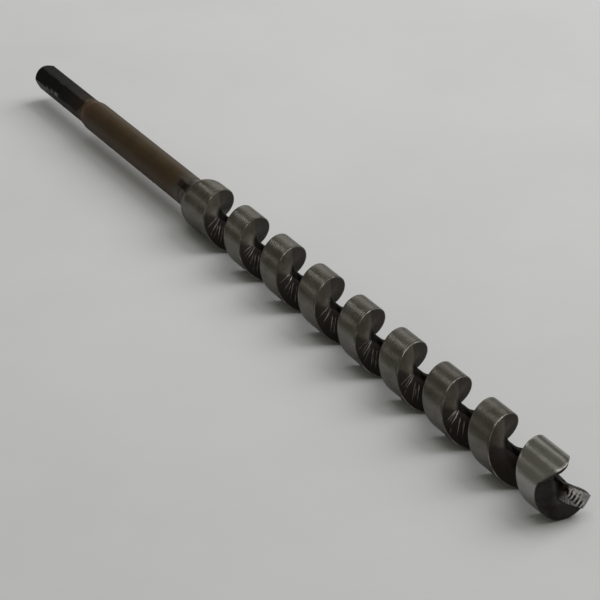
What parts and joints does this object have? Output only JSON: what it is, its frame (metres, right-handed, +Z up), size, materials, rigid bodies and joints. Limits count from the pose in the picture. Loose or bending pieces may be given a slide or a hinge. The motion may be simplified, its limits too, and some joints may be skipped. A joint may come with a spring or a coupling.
{
  "type": "soil auger bit",
  "caption": "Straight power-driven auger bit: chamfered hexagonal drive end, round shank, long right-hand single-twist flute with a solid core, and a flat serrated cutting lip.",
  "frame": {"origin": "middle of the underside of the bit as it lies on a surface, halfway along its length", "axes": "+X along the bit towards the cutting head, +Z up, the bit's axis 11.11 mm above the surface; the flute is a right-hand helix about X"},
  "size_m": [0.4496, 0.0222, 0.0222],
  "materials": {
    "black_oxide": "black oxide, worn through to steel in small spots",
    "brown_lacquer": "thin brown rust-preventing lacquer, satin, mottled",
    "ground_steel": "lands ground along the bit, groove faces dark and scaly with radial scratches",
    "lip_steel": "rough ground, rippled",
    "weld_metal": "heat tinted, matt",
    "braze_metal": "dull, stained"
  },
  "bodies": {
    "root": {"hex_drive_end": "black_oxide", "hex_weld_seam": "weld_metal", "round_shank": "brown_lacquer", "neck_weld_seam": "weld_metal", "flute_body": "ground_steel", "lip_braze_layer": "braze_metal", "cutting_lip": "lip_steel"}
  },
  "joints": []
}
